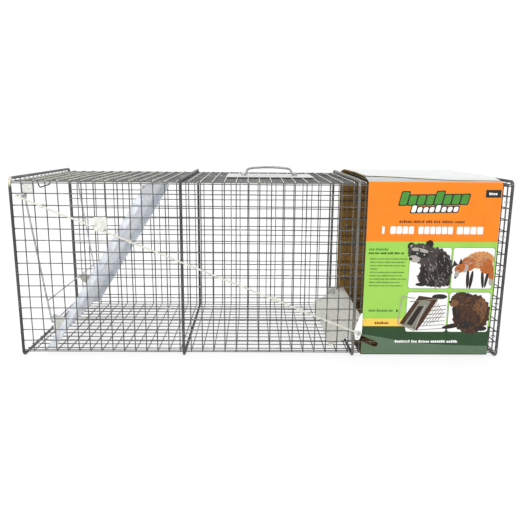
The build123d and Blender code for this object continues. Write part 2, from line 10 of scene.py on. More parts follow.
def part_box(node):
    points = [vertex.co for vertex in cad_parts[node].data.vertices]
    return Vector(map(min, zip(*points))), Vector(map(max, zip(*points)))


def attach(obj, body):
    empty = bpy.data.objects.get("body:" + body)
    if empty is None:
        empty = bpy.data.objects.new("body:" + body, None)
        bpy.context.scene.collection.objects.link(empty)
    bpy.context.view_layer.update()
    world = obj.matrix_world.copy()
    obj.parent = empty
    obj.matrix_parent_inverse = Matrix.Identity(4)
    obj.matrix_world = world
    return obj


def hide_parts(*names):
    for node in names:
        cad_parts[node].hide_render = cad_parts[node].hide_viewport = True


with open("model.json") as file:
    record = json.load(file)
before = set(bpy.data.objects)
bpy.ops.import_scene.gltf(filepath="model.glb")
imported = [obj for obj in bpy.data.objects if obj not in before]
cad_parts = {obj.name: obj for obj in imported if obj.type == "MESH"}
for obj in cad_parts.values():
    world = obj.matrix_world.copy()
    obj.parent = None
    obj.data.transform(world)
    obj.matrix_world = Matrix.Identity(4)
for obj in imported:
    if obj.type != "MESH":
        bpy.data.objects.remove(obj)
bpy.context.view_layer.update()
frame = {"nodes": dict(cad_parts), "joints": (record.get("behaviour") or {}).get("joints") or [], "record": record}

# Live catch trap. Metres, +Z up, the door at -X, the side with the trigger rod at -Y.
MM = 0.001


# --- Places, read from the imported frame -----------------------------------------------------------
def joint(name):
    return next(j for j in frame["joints"] if j["name"] == name)


rear_low, rear_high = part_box("rear_mesh")
wire_d = (rear_high.x - rear_low.x) / 2
wire_r = wire_d / 2
half_w = rear_high.y - wire_r
floor_z = rear_low.z + wire_r
roof_z = rear_high.z - wire_r
first_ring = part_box("lock_bracket_near")[0].x + wire_r
last_ring = rear_low.x - wire_r
near_low, near_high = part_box("near_side_mesh")
mesh_pitch = 25.4 * MM
edge_inset = 3.2 * MM  # the outermost line wires are drawn in from the corners of the rings
ring_bend = 5.0 * MM


def spaced(low, high):
    """Places from low to high at about the mesh pitch."""
    count = round((high - low) / mesh_pitch)
    return [low + (high - low) * i / count for i in range(count + 1)]


def with_edges(low, high):
    lines = spaced(low, high)
    return [low + edge_inset] + lines[1:-1] + [high - edge_inset]


rings = spaced(first_ring, last_ring)
side_lines = with_edges(floor_z, roof_z)
deck_lines = with_edges(-half_w, half_w)


# --- Finishes: shader maths -----------------------------------------------------------------------
class Link:
    """One socket of a finish's nodes, so that sums on it add Math nodes."""

    def __init__(self, finish, socket):
        self.finish = finish
        self.socket = socket

    def maths(self, operation, first, second):
        return self.finish.node("ShaderNodeMath", {"operation": operation}, {0: first, 1: second})

    def __add__(self, other):
        return self.maths("ADD", self, other)

    def __radd__(self, other):
        return self.maths("ADD", other, self)

    def __sub__(self, other):
        return self.maths("SUBTRACT", self, other)

    def __rsub__(self, other):
        return self.maths("SUBTRACT", other, self)

    def __mul__(self, other):
        return self.maths("MULTIPLY", self, other)

    def __rmul__(self, other):
        return self.maths("MULTIPLY", other, self)


class Finish:
    """A material, its nodes made one by one."""

    def __init__(self, name):
        self.material = bpy.data.materials.new(name)
        self.material.use_nodes = True
        self.tree = self.material.node_tree
        self.tree.nodes.clear()
        self.place = self.node("ShaderNodeTexCoord", {}, {}, "Object")

    def node(self, kind, settings, inputs, output=0):
        """Adds a node: its settings first, then the values or links of its sockets."""
        made = self.tree.nodes.new(kind)
        for name, value in settings.items():
            setattr(made, name, value)
        for key, value in inputs.items():
            if isinstance(value, Link):
                self.tree.links.new(value.socket, made.inputs[key])
            else:
                made.inputs[key].default_value = value
        return Link(self, made.outputs[output])

    def stretched(self, x, y, z):
        """The object's own coordinates, scaled along each axis."""
        settings = {"operation": "MULTIPLY"}
        return self.node("ShaderNodeVectorMath", settings, {0: self.place, 1: (x, y, z)})

    def cloud(self, scale, detail=2.0, place=None):
        """Soft noise from 0 to 1; scale is in features per metre."""
        inputs = {"Vector": place or self.place, "Scale": scale, "Detail": detail}
        return self.node("ShaderNodeTexNoise", {}, inputs, "Fac")

    def grains(self, scale):
        """Crystal cells, each with its own value."""
        return self.node("ShaderNodeTexVoronoi", {}, {"Vector": self.place, "Scale": scale}, "Color")

    def along_axis(self, axis):
        """How far along X, Y or Z of the object, in metres."""
        return self.node("ShaderNodeSeparateXYZ", {}, {0: self.place}, axis)

    def spread(self, value, low, high, to_low=0.0, to_high=1.0):
        """The value's stretch from low to high, drawn out to the new range and held there."""
        inputs = {0: value, 1: low, 2: high, 3: to_low, 4: to_high}
        return self.node("ShaderNodeMapRange", {"clamp": True}, inputs)

    def blend(self, first, second, amount):
        """The first colour where amount is 0, the second where it is 1."""
        settings = {"data_type": "RGBA"}
        return self.node("ShaderNodeMix", settings, {0: amount, 6: first, 7: second}, 2)

    def near(self, point, inner, outer):
        """1 within inner of a point of the object, fading to 0 at outer."""
        settings = {"operation": "DISTANCE"}
        away = self.node("ShaderNodeVectorMath", settings, {0: self.place, 1: point}, "Value")
        return self.spread(away, inner, outer, 1.0, 0.0)

    def relief(self, height, depth, strength=1.0):
        """Surface relief of this depth in metres."""
        inputs = {"Strength": strength, "Distance": depth, "Height": height}
        return self.node("ShaderNodeBump", {}, inputs, "Normal")

    def surface(self, **inputs):
        """The finish's shader; the names stand for the sockets, with _ for a space."""
        named = {key.replace("_", " "): value for key, value in inputs.items()}
        shader = self.node("ShaderNodeBsdfPrincipled", {}, named, "BSDF")
        output = self.tree.nodes.new("ShaderNodeOutputMaterial")
        self.tree.links.new(shader.socket, output.inputs["Surface"])
        return self.material


def shade(*levels):
    """A colour for a shader, from red, green and blue as a screen shows them, 0 to 255."""
    shares = [level / 255 for level in levels]
    return tuple(s / 12.92 if s < 0.04045 else ((s + 0.055) / 1.055) ** 2.4 for s in shares) + (1.0,)


# --- Finishes -------------------------------------------------------------------------------------
def coated_steel(name, dark, light, peel_scale, peel_depth, gloss, chafed=None, highlight_above=None):
    """Charcoal coating with an orange-peel skin, worn down to zinc in small places.

    It is also worn through at the point chafed, and above the height highlight_above it is lightened towards zinc
    in patches: a painted highlight along the wire tops, laid on as bare zinc."""
    finish = Finish(name)
    blotch = finish.cloud(22, 4)
    fine = finish.cloud(420, 3)
    tone = finish.blend(dark, light, finish.spread(blotch * 0.7 + fine * 0.3, 0.35, 0.65))
    wear_and_highlight = finish.spread(fine + 0.4 * blotch, 0.86, 0.93)
    if chafed is not None:
        wear_and_highlight = wear_and_highlight + finish.near(chafed, 6 * MM, 13 * MM)
    # Painted highlight: the tops above this height are lightened towards zinc for the light they catch from above.
    if highlight_above is not None:
        worn = finish.spread(finish.along_axis("Z"), highlight_above, highlight_above + 1.6 * MM)
        wear_and_highlight = wear_and_highlight + worn * finish.spread(blotch, 0.3, 0.55, 0.45, 0.95)
    colour = finish.blend(tone, shade(206, 204, 186), finish.spread(wear_and_highlight, 0.0, 1.0))
    peel = finish.cloud(peel_scale, 2)
    return finish.surface(
        Base_Color=colour,
        Roughness=finish.spread(blotch + 0.5 * fine, 0.5, 1.0, gloss, gloss + 0.2),
        Metallic=finish.spread(wear_and_highlight, 0.0, 1.0, 0.15, 0.8),
        Specular_IOR_Level=0.8,
        Normal=finish.relief(peel, peel_depth),
    )


def galvanised(name, light, dark, spangle_scale, rolled=(1.0, 1.0, 1.0)):
    """Zinc-dipped sheet: crystal spangle, dull handling marks and faint lines where it was rolled."""
    finish = Finish(name)
    spangle = finish.grains(spangle_scale)
    handled = finish.cloud(9, 4)
    lines = finish.cloud(60, 2, finish.stretched(*rolled))
    dullness = finish.spread(spangle * 0.5 + handled * 0.6 + lines * 0.3, 0.4, 1.0)
    scuff = finish.spread(finish.cloud(240, 5, finish.stretched(1.0, 0.2, 1.0)), 0.66, 0.74)
    colour = finish.blend(finish.blend(light, dark, dullness), shade(232, 234, 236), scuff * 0.5)
    return finish.surface(
        Base_Color=colour,
        Metallic=0.55,
        Roughness=finish.spread(dullness - 0.3 * scuff, 0.0, 1.0, 0.32, 0.52),
        Normal=finish.relief(spangle * 0.4 + finish.cloud(900, 2) * 0.6, 0.12 * MM),
    )


def zinc_plate(name, light, dark, roughness=0.3):
    """Bright zinc plating on drawn wire and small pressings."""
    finish = Finish(name)
    drawn = finish.cloud(130, 3, finish.stretched(0.25, 0.25, 1.0))
    cloudy = finish.cloud(34, 3)
    tone = finish.spread(drawn * 0.5 + cloudy * 0.5, 0.35, 0.65)
    pitted = finish.spread(finish.cloud(800, 2), 0.62, 0.72)
    return finish.surface(
        Base_Color=finish.blend(finish.blend(light, dark, tone), shade(120, 118, 112), pitted * 0.5),
        Metallic=0.8,
        Roughness=finish.spread(tone + pitted, 0.0, 2.0, roughness, roughness + 0.3),
        Normal=finish.relief(drawn - 0.4 * pitted, 0.1 * MM),
    )


def bright_plate():
    """The handle's plate: bright zinc on top, with painted shade down its turned edges and round its feet."""
    finish = Finish("bright_plate")
    height = finish.along_axis("Z") + 0.5 * MM * finish.cloud(120, 3)
    # Painted shade: everything below the plate's top face is darkened, for the shadow under the plate's edge.
    edge_shade = finish.spread(height, plate_top, plate_top + 0.7 * MM, 1.0, 0.0)
    rolled = finish.cloud(70, 3, finish.stretched(0.15, 1.0, 1.0))
    marks = finish.spread(finish.cloud(46, 5), 0.56, 0.68)
    clean = finish.blend(shade(206, 208, 207), shade(180, 182, 182), rolled * 0.7 + marks * 0.3)
    return finish.surface(
        Base_Color=finish.blend(clean, shade(46, 46, 45), edge_shade),
        Metallic=finish.spread(edge_shade, 0.0, 1.0, 0.7, 0.1),
        Roughness=finish.spread(rolled + marks + edge_shade, 0.0, 2.0, 0.26, 0.6),
        Normal=finish.relief(rolled + marks, 0.06 * MM),
    )


def gloss_coat(name, clean, soiled, chip):
    """A pale coating over wire or plate, a little soiled and chipped."""
    finish = Finish(name)
    soil = finish.spread(finish.cloud(55, 5), 0.5, 0.75)
    chips = finish.spread(finish.cloud(310, 3), 0.7, 0.73)
    colour = finish.blend(finish.blend(clean, soiled, soil * 0.7), chip, chips)
    return finish.surface(
        Base_Color=colour,
        Roughness=finish.spread(soil + 0.4 * chips, 0.0, 1.4, 0.3, 0.6),
        Coat_Roughness=0.15,
        Coat_Weight=0.25,
        Normal=finish.relief(finish.cloud(700, 2) - 1.5 * chips, 0.12 * MM),
    )


flute_scale = 1000 / 6.5  # of the card's corrugations, which run up and down


def fluting(finish):
    """The faint lines that the card's corrugations press through its liner."""
    inputs = {"Vector": finish.place, "Scale": flute_scale, "Distortion": 0.6}
    settings = {"wave_type": "BANDS", "bands_direction": "X"}
    return finish.node("ShaderNodeTexWave", settings, inputs, "Fac")


def printed_card(name, colour, worn=0.32):
    """Ink on white-lined card under a thin varnish, its scuffs paler by the share worn."""
    finish = Finish(name)
    flutes = fluting(finish)
    mottle = finish.cloud(38, 4)
    fibre = finish.cloud(900, 2)
    pale = tuple(0.75 * c + 0.25 for c in colour[:3]) + (1.0,)
    deep = tuple(0.86 * c for c in colour[:3]) + (1.0,)
    amount = finish.spread(mottle * 0.6 + flutes * 0.2 + fibre * 0.2, 0.3, 0.7)
    scuffed = finish.spread(finish.cloud(150, 5, finish.stretched(1.0, 1.0, 0.4)), 0.68, 0.78)
    return finish.surface(
        Base_Color=finish.blend(finish.blend(colour, deep, amount), pale, scuffed * worn),
        Roughness=finish.spread(amount, 0.0, 1.0, 0.42, 0.54),
        Specular_IOR_Level=0.25,
        Normal=finish.relief(flutes * 0.6 + fibre * 0.4, 0.12 * MM, 0.6),
    )


def shaded_liner(name, colour, fold_shade_colour):
    """The white top of the card, with painted shade along its near fold, where it curves down, and a little in its
    creases.
    """
    finish = Finish(name)
    flutes = fluting(finish)
    mottle = finish.cloud(14, 4)
    across = finish.along_axis("Y") + 0.03 * mottle
    # Painted shade: the top is darkened towards its near fold, where it curves down to the near face, and a little
    # along its creases.
    soiled = finish.spread(across, card_low.y + 18 * MM, card_low.y + 60 * MM, 1.0, 0.0)
    crease = finish.spread(finish.cloud(20, 5, finish.stretched(1.0, 0.3, 1.0)), 0.54, 0.62)
    tone = finish.blend(colour, fold_shade_colour, finish.spread(soiled * 0.8 + crease * 0.15, 0.0, 1.0))
    return finish.surface(
        Base_Color=tone,
        Roughness=finish.spread(mottle, 0.3, 0.7, 0.36, 0.5),
        Specular_IOR_Level=0.35,
        Normal=finish.relief(flutes * 0.5 + crease * 0.5, 0.2 * MM, 0.6),
    )


def kraft(name, light, dark):
    """Bare brown liner: long fibres, flute lines and darker damp patches."""
    finish = Finish(name)
    flutes = fluting(finish)
    fibre = finish.cloud(260, 4, finish.stretched(1.0, 1.0, 0.16))
    patch = finish.cloud(12, 3)
    amount = finish.spread(fibre * 0.5 + patch * 0.35 + flutes * 0.25, 0.35, 0.75)
    return finish.surface(
        Base_Color=finish.blend(light, dark, amount),
        Roughness=finish.spread(fibre, 0.2, 0.8, 0.72, 0.9),
        Normal=finish.relief(flutes + 0.5 * fibre, 0.35 * MM),
    )


def studio_floor():
    """White paper, lit from below so that it stays pale under the trap."""
    finish = Finish("studio_floor")
    return finish.surface(
        Base_Color=finish.blend(shade(118, 118, 118), shade(112, 113, 114), finish.cloud(3, 3)),
        Roughness=0.8,
        Emission_Color=(1.0, 1.0, 1.0, 1.0),
        Emission_Strength=0.8,
    )


card_low, card_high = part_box("card_sleeve")
front_low, front_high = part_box("front_hoop")
chafed_corner = ((front_low.x + front_high.x) / 2, front_low.y + 3 * MM, front_high.z - 9 * MM)
plate_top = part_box("handle_plate")[1].z - 0.9 * MM  # under this, the plate's turned edges take a painted shade

wire_coat = (shade(50, 52, 51), shade(80, 82, 79), 1500, 0.012 * MM, 0.12)
mesh_coating = coated_steel("mesh_coating", *wire_coat)
# The cross wires' roof runs take a painted highlight: lightened towards zinc along their tops.
ring_coating = coated_steel("ring_coating", *wire_coat, highlight_above=roof_z + 0.4 * MM)
hoop_coating = coated_steel("hoop_coating", shade(30, 32, 33), shade(56, 58, 59), 520, 0.35 * MM, 0.3)
front_coating = coated_steel(
    "front_hoop_coating", shade(24, 26, 28), shade(56, 58, 60), 520, 0.5 * MM, 0.25, chafed_corner)
# A lighter copy of the hoop coating, painted light for the light this hoop catches.
trip_hoop_lit_coating = coated_steel(
    "trip_hoop_lit_coating", shade(74, 72, 67), shade(104, 102, 96), 520, 0.2 * MM, 0.3)
door_zinc = galvanised("door_zinc", shade(232, 236, 242), shade(206, 212, 222), 130, (1, 0.1, 1))
trip_zinc = galvanised("trip_zinc", shade(226, 226, 216), shade(200, 200, 190), 160, (0.1, 1, 1))
catch_zinc = galvanised("catch_zinc", shade(168, 168, 161), shade(136, 136, 130), 210)
bracket_zinc = galvanised("bracket_zinc", shade(226, 227, 220), shade(190, 192, 186), 210)
zinc_wire = zinc_plate("zinc_wire", shade(200, 204, 206), shade(160, 165, 168))
cream_coat = gloss_coat("cream_coat", shade(202, 201, 190), shade(180, 177, 160), shade(110, 108, 98))
white_coat = gloss_coat("white_coat", shade(240, 241, 238), shade(214, 214, 206), shade(160, 160, 155))
handle_wire = zinc_plate("handle_wire", shade(164, 166, 166), shade(128, 130, 131), 0.22)
rivet_zinc = zinc_plate("rivet_zinc", shade(196, 198, 198), shade(150, 152, 152), 0.28)
black_coat = gloss_coat("black_coat", shade(30, 30, 30), shade(52, 50, 48), shade(120, 120, 120))
kraft_card = kraft("kraft_card", shade(160, 118, 48), shade(108, 78, 24))

finish_of_slot = {
    "mesh_coating": mesh_coating,
    "hoop_coating": hoop_coating,
    "door_sheet": door_zinc,
    "trip_sheet": trip_zinc,
    "bracket_sheet": bracket_zinc,
    "zinc_wire": zinc_wire,
    "rod_finish": cream_coat,
    "crank_finish": white_coat,
    "handle_finish": handle_wire,
    "rivet_zinc": rivet_zinc,
    "black_wire": black_coat,
    "sleeve_card": kraft_card,
}


def finish_cad_nodes():
    """Each carried-over node takes the finish of its slot, and four have one of their own."""
    for row in frame["record"]["subparts"]:
        mesh = frame["nodes"][row["node"]].data
        mesh.materials.clear()
        mesh.materials.append(finish_of_slot[row["material_slot"]])
    frame["nodes"]["front_hoop"].data.materials[0] = front_coating
    frame["nodes"]["trip_hoop"].data.materials[0] = trip_hoop_lit_coating
    frame["nodes"]["handle_plate"].data.materials[0] = bright_plate()
    frame["nodes"]["set_catch"].data.materials[0] = catch_zinc


finish_cad_nodes()


# --- Mesh making ----------------------------------------------------------------------------------
class Shell:
    """Vertices and faces of one piece, gathered before its mesh is made."""

    def __init__(self):
        self.points = []
        self.faces = []
        self.finishes = []

    def add(self, point):
        self.points.append(tuple(point))
        return len(self.points) - 1

    def face(self, corners, finish=0):
        self.faces.append(corners)
        self.finishes.append(finish)

    def bridge(self, first, second, finish=0, closed=True):
        """Faces between two rows of vertices."""
        count = len(first)
        for i in range(count if closed else count - 1):
            j = (i + 1) % count
            self.face((first[i], first[j], second[j], second[i]), finish)


def make_object(name, shell, finishes):
    """A Blender object with the shell's mesh, in the scene."""
    mesh = bpy.data.meshes.new(name)
    mesh.from_pydata(shell.points, [], shell.faces)
    for material in finishes:
        mesh.materials.append(material)
    made = bpy.data.objects.new(name, mesh)
    bpy.context.scene.collection.objects.link(made)
    return made


def make_piece(name, shell, body, finishes, sharp=40.0):
    """A piece of the trap that moves with a body; edges sharper than this many degrees stay sharp."""
    piece = make_object(name, shell, finishes)
    mesh = piece.data
    mesh.polygons.foreach_set("material_index", shell.finishes)
    mesh.polygons.foreach_set("use_smooth", [True] * len(mesh.polygons))
    mesh.set_sharp_from_angle(angle=math.radians(sharp))
    mesh.validate()
    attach(piece, body)
    return piece


def tidy_mesh(piece):
    """Joins vertices that coincide and turns every face outward."""
    work = bmesh.new()
    work.from_mesh(piece.data)
    bmesh.ops.remove_doubles(work, verts=work.verts, dist=0.01 * MM)
    bmesh.ops.recalc_face_normals(work, faces=work.faces)
    work.to_mesh(piece.data)
    work.free()


def tube(shell, path, closed=False):
    """A length of the mesh's wire through the points, its open ends rounded off."""
    rows = []
    side = None
    last = len(path) - 1
    for i, point in enumerate(path):
        behind = path[i - 1] if closed or i > 0 else point
        ahead = path[(i + 1) % len(path)] if closed or i < last else point
        along = (ahead - behind).normalized()
        side = side if side is not None else along.orthogonal()
        side = (side - along * side.dot(along)).normalized()
        up = along.cross(side)
        turn = [math.tau * k / wire_sides for k in range(wire_sides)]
        rows.append([shell.add(point + wire_r * (math.cos(a) * side + math.sin(a) * up)) for a in turn])
    for first, second in zip(rows, rows[1:]):
        shell.bridge(first, second)
    if closed:
        shell.bridge(rows[-1], rows[0])
    else:
        dome(shell, rows[0], path[0], path[0] - path[1])
        dome(shell, rows[-1], path[-1], path[-1] - path[-2])


def dome(shell, row, centre, outward):
    """A low rounded end on a wire."""
    outward = outward.normalized() * wire_r
    shrunk = [centre + (Vector(shell.points[i]) - centre) * 0.7 + outward * 0.35 for i in row]
    inner = [shell.add(point) for point in shrunk]
    shell.bridge(row, inner)
    tip = shell.add(centre + outward * 0.5)
    for i, corner in enumerate(inner):
        shell.face((corner, inner[(i + 1) % len(inner)], tip))


def rounded_corners(low, high, radius, steps):
    """The four corner arcs of a rectangle, each a list of points, from its low corner round."""
    (x0, y0), (x1, y1) = low, high
    arcs = []
    for x, y, start in ((x0, y0, 180), (x1, y0, 270), (x1, y1, 0), (x0, y1, 90)):
        cx = x + radius if x == x0 else x - radius
        cy = y + radius if y == y0 else y - radius
        angles = [math.radians(start + 90 * k / steps) for k in range(steps + 1)]
        arcs.append([(cx + radius * math.cos(a), cy + radius * math.sin(a)) for a in angles])
    return arcs


def rounded_loop(low, high, radius, step):
    """Points of a rounded rectangle, with its straight runs divided at about the step."""
    arcs = rounded_corners(low, high, radius, 6)
    points = []
    for arc, following in zip(arcs, arcs[1:] + arcs[:1]):
        (x0, y0), (x1, y1) = arc[-1], following[0]
        count = round(math.hypot(x1 - x0, y1 - y0) / step)
        points += arc
        points += [(x0 + (x1 - x0) * k / count, y0 + (y1 - y0) * k / count) for k in range(1, count)]
    return points


# --- Wire mesh ------------------------------------------------------------------------------------
wire_sides = 8
sway = 0.7 * MM
sways_per_metre = 8.0
weld_r = 1.75 * MM
weld_thin_r = 1.1 * MM
noise.seed_set(7)  # the sway is the same each time the trap is made


def swayed(x, y, z):
    """Handling has left the mesh a little uneven; wires that cross move together."""
    place = Vector((x, y, z))
    return place + sway * noise.noise_vector(place * sways_per_metre)


def ring_wires():
    """The cross wires, each one closed loop bent round the four corners and over the roof's line wires."""
    shell = Shell()
    section = rounded_loop((-half_w, floor_z), (half_w, roof_z + wire_d), ring_bend, mesh_pitch)
    for x in rings:
        tube(shell, [swayed(x, y, z) for y, z in section], closed=True)
    make_piece("ring_wires", shell, "cage", [ring_coating])


def line_path(y, z):
    """A line wire's way along the cage, with about two points to a cell."""
    count = 2 * (len(rings) + 1)
    reach = near_high.x - near_low.x
    return [swayed(near_low.x + reach * i / count, y, z) for i in range(count + 1)]


def line_wires(name, places, node):
    """The long wires of one side, laid along the rings; they stand for that side's mesh."""
    shell = Shell()
    for y, z in places:
        tube(shell, line_path(y, z))
    piece = make_piece(name, shell, "cage", [mesh_coating])
    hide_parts(node)


def rear_wires():
    """The closed end: uprights against the last ring and line wires behind them."""
    shell = Shell()
    x = rings[-1] + wire_d
    foot = floor_z - wire_r
    rise = roof_z + wire_r - foot
    heights = [foot + rise * i / 20 for i in range(21)]
    for y in deck_lines:
        tube(shell, [swayed(x, y, z) for z in heights])
    across = [(half_w + wire_r) * (i / 10 - 1) for i in range(21)]
    for z in side_lines:
        tube(shell, [swayed(x + wire_d, y, z) for y in across])
    piece = make_piece("rear_wires", shell, "cage", [mesh_coating])
    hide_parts("rear_mesh")


def weld(shell, x, y, z, flat):
    """A small bead where two wires were fused; flat is the axis it is thin along."""
    centre = swayed(x, y, z)
    axes = [Vector((1, 0, 0)), Vector((0, 1, 0)), Vector((0, 0, 1))]
    normal = axes.pop(flat)
    tips = [shell.add(centre + normal * weld_thin_r), shell.add(centre - normal * weld_thin_r)]
    turn = [math.tau * k / 6 for k in range(6)]
    rim = [shell.add(centre + weld_r * (math.cos(a) * axes[0] + math.sin(a) * axes[1])) for a in turn]
    for i, corner in enumerate(rim):
        following = rim[(i + 1) % 6]
        shell.face((corner, following, tips[0]))
        shell.face((following, corner, tips[1]))


def weld_round(shell, x, side_y, top_z, foot_z):
    """Beads on every line wire of the sides, the roof and the floor, at one place along the cage."""
    for z in side_lines:
        weld(shell, x, -side_y, z, 1)
        weld(shell, x, side_y, z, 1)
    for y in deck_lines:
        weld(shell, x, y, top_z, 2)
        weld(shell, x, y, foot_z, 2)


def mesh_welds():
    """Beads where the mesh's wires cross."""
    shell = Shell()
    for x in rings:
        weld_round(shell, x, half_w + wire_r, roof_z + wire_r, floor_z - wire_r)
    rear_x = rings[-1] + wire_d * 1.5
    for y in deck_lines:
        for z in side_lines:
            weld(shell, rear_x, y, z, 0)
    make_piece("mesh_welds", shell, "cage", [mesh_coating], 180)


def hoop_welds():
    """Beads that fix the line wires to the four hoops."""
    shell = Shell()
    for name in ("front_hoop", "middle_hoop", "trip_hoop", "rear_hoop"):
        low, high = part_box(name)
        x = (low.x + high.x) / 2
        weld_round(shell, x, half_w + wire_d * 1.5, roof_z + wire_d, floor_z - wire_d * 1.5)
    make_piece("hoop_welds", shell, "cage", [hoop_coating], 180)


line_y = half_w + wire_d
ring_wires()
line_wires("near_line_wires", [(-line_y, z) for z in side_lines], "near_side_mesh")
line_wires("far_line_wires", [(line_y, z) for z in side_lines], "far_side_mesh")
line_wires("roof_line_wires", [(y, roof_z) for y in deck_lines], "roof_mesh")
line_wires("floor_line_wires", [(y, floor_z - wire_d) for y in deck_lines], "floor_mesh")
rear_wires()
mesh_welds()
hoop_welds()


# --- Door sheet -----------------------------------------------------------------------------------
sheet_t = 1.2 * MM
lip_r = 2.2 * MM
hinge = Vector(joint("door_hinge")["pos_m"])
door_low, door_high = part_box("door_panel")
lip_drop = hinge.z - (door_low.z + lip_r)
lip_reach = hinge.x - (door_low.x + lip_r)
door_length = math.hypot(lip_drop, lip_reach)
down_slope = Vector((-lip_reach, 0, -lip_drop)) / door_length
out_of_door = Vector((-lip_drop, 0, lip_reach)) / door_length
door_half = door_high.y - sheet_t / 2
flat_from = 10 * MM  # hinge line to where the sheet runs flat
flat_to = door_length - 7 * MM  # and to where it ends, above the rolled lip
sheet_step = 3 * MM  # between the mesh's rows and columns
flange_depth = 16 * MM
flange_top = 14 * MM
flange_foot = 12 * MM
fold_r = 2.2 * MM
barrel_r = 2.9 * MM  # the curl round the hinge rod
crease_height = 2.6 * MM
crease_width = 7.0 * MM
crease_from = 34 * MM
crease_reach = 150 * MM
crease_strokes = 14
dent_depth = 0.5 * MM


def on_door(along, y, out):
    """A point of the door: along it from the hinge, across it and out of its upper face."""
    return hinge + down_slope * along + Vector((0, y, 0)) + out_of_door * out


def flange_at(along):
    """How deep the side flange is at this distance down the door."""
    top = (along - flange_top) * 2
    foot = (door_length - lip_r - along) * flange_depth / (flange_foot - lip_r)
    return max(0.0, min(flange_depth, top, foot))


def crease_lines():
    """The pressed zigzag, from edge to edge down the door."""
    stroke = (door_length - 2 * crease_from) / crease_strokes
    sides = [crease_reach, -crease_reach]
    turns = [(crease_from + stroke * i, sides[i % 2]) for i in range(crease_strokes + 1)]
    return list(zip(turns, turns[1:]))


def crease_at(along, y):
    """Height of the pressed creases here."""
    nearest = 1.0
    for (a0, y0), (a1, y1) in crease_lines():
        span = (a1 - a0) ** 2 + (y1 - y0) ** 2
        t = max(0.0, min(1.0, ((along - a0) * (a1 - a0) + (y - y0) * (y1 - y0)) / span))
        away = math.hypot(along - a0 - t * (a1 - a0), y - y0 - t * (y1 - y0))
        nearest = min(nearest, away)
    return crease_height * math.exp(-((nearest / crease_width) ** 2) * 1.6)


def door_rows():
    """(along, out, flat) down the door: the barrel's curl, the flat sheet, the rolled lip."""
    curl = [math.radians(a) for a in range(25, 321, 16)]
    rows = [(barrel_r * math.cos(a), barrel_r * math.sin(a), False) for a in curl]
    rows += [(4.6 * MM, -1.3 * MM, False), (7 * MM, -0.4 * MM, False)]
    count = round((flat_to - flat_from) / sheet_step)
    rows += [(flat_from + (flat_to - flat_from) * i / count, 0.0, True) for i in range(count + 1)]
    rows += [(door_length - 4.2 * MM, -0.5 * MM, False)]
    roll = lip_r - sheet_t / 2
    curl = [math.radians(a) for a in range(222, 540, 20)]
    rows += [(door_length + roll * math.cos(a), roll * math.sin(a), False) for a in curl]
    return rows


def door_columns(depth):
    """(y, drop) across the door: far flange, fold, sheet, fold, near flange."""
    bend = min(fold_r, depth / 2)
    edge = [(door_half, depth - (depth - bend) * i / 4) for i in range(4)]
    arc = [math.radians(a) for a in range(0, 91, 18)]
    edge += [(door_half - bend * (1 - math.cos(a)), bend * (1 - math.sin(a))) for a in arc]
    count = round(2 * (door_half - fold_r) / sheet_step)
    flat = [(door_half - bend) * (1 - 2 * i / count) for i in range(1, count)]
    return edge + [(y, 0.0) for y in flat] + [(-y, drop) for y, drop in reversed(edge)]


def pressed(along, y):
    """How far the creases and dents raise the flat sheet here; they die out at its edges."""
    ends = min(1.0, (along - flat_from) / (12 * MM), (flat_to - along) / (12 * MM))
    inside = max(0.0, min(1.0, (door_half - fold_r - abs(y)) / (10 * MM)))
    dents = dent_depth * noise.noise(Vector((along * 14, y * 11, 3.0)))
    return (crease_at(along, y) + dents * inside) * max(0.0, ends)


def door_sheet():
    """The creased sheet with its curled hinge edge, rolled lip and folded side flanges."""
    shell = Shell()
    rows = []
    for along, out, flat in door_rows():
        row = []
        for y, drop in door_columns(flange_at(along) if flat else 0.0):
            rise = pressed(along, y) if flat and drop == 0.0 else 0.0
            row.append(shell.add(on_door(along, y, out - drop + rise)))
        rows.append(row)
    for first, second in zip(rows, rows[1:]):
        shell.bridge(first, second, closed=False)
    piece = make_piece("door_sheet", shell, "door", [door_zinc])
    tidy_mesh(piece)
    thick = piece.modifiers.new("thickness", "SOLIDIFY")
    thick.thickness = sheet_t
    thick.offset = 0
    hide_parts("door_panel")


door_sheet()


# --- Card sleeve ----------------------------------------------------------------------------------
card_t = 1.5 * MM
card_length = card_high.x - card_low.x
card_width = card_high.y - card_low.y
card_height = card_high.z - card_low.z
card_fold = 3.0 * MM
card_columns = 40  # of the mesh, along the card
lime_from = 69 * MM
orange_from = 262 * MM
top_bulge = 9.5 * MM
top_ripple = 0.9 * MM
near_bow = 0.8 * MM
far_bow = 3.0 * MM

orange_card = printed_card("orange_card", shade(236, 130, 26))
lime_card = printed_card("lime_card", shade(152, 204, 84))
forest_card = printed_card("forest_card", shade(40, 70, 40))
# For the top and its flap, the second colour is the painted shade along the near fold.
top_card = shaded_liner("top_card", shade(176, 179, 181), shade(150, 154, 158))
flap_card = shaded_liner("flap_card", shade(200, 202, 201), shade(186, 189, 190))
cut_card = kraft("cut_card", shade(164, 142, 92), shade(126, 102, 60))
flap_edge = kraft("flap_edge", shade(222, 208, 150), shade(196, 178, 120))
card_finishes = [orange_card, lime_card, forest_card, top_card, kraft_card, cut_card]
ORANGE, LIME, FOREST, TOP, KRAFT, CUT = range(6)


def bow(height):
    """How much of its full bow a side of the card has at this height, from 0 to 1."""
    return math.sin(math.pi * height / card_height)


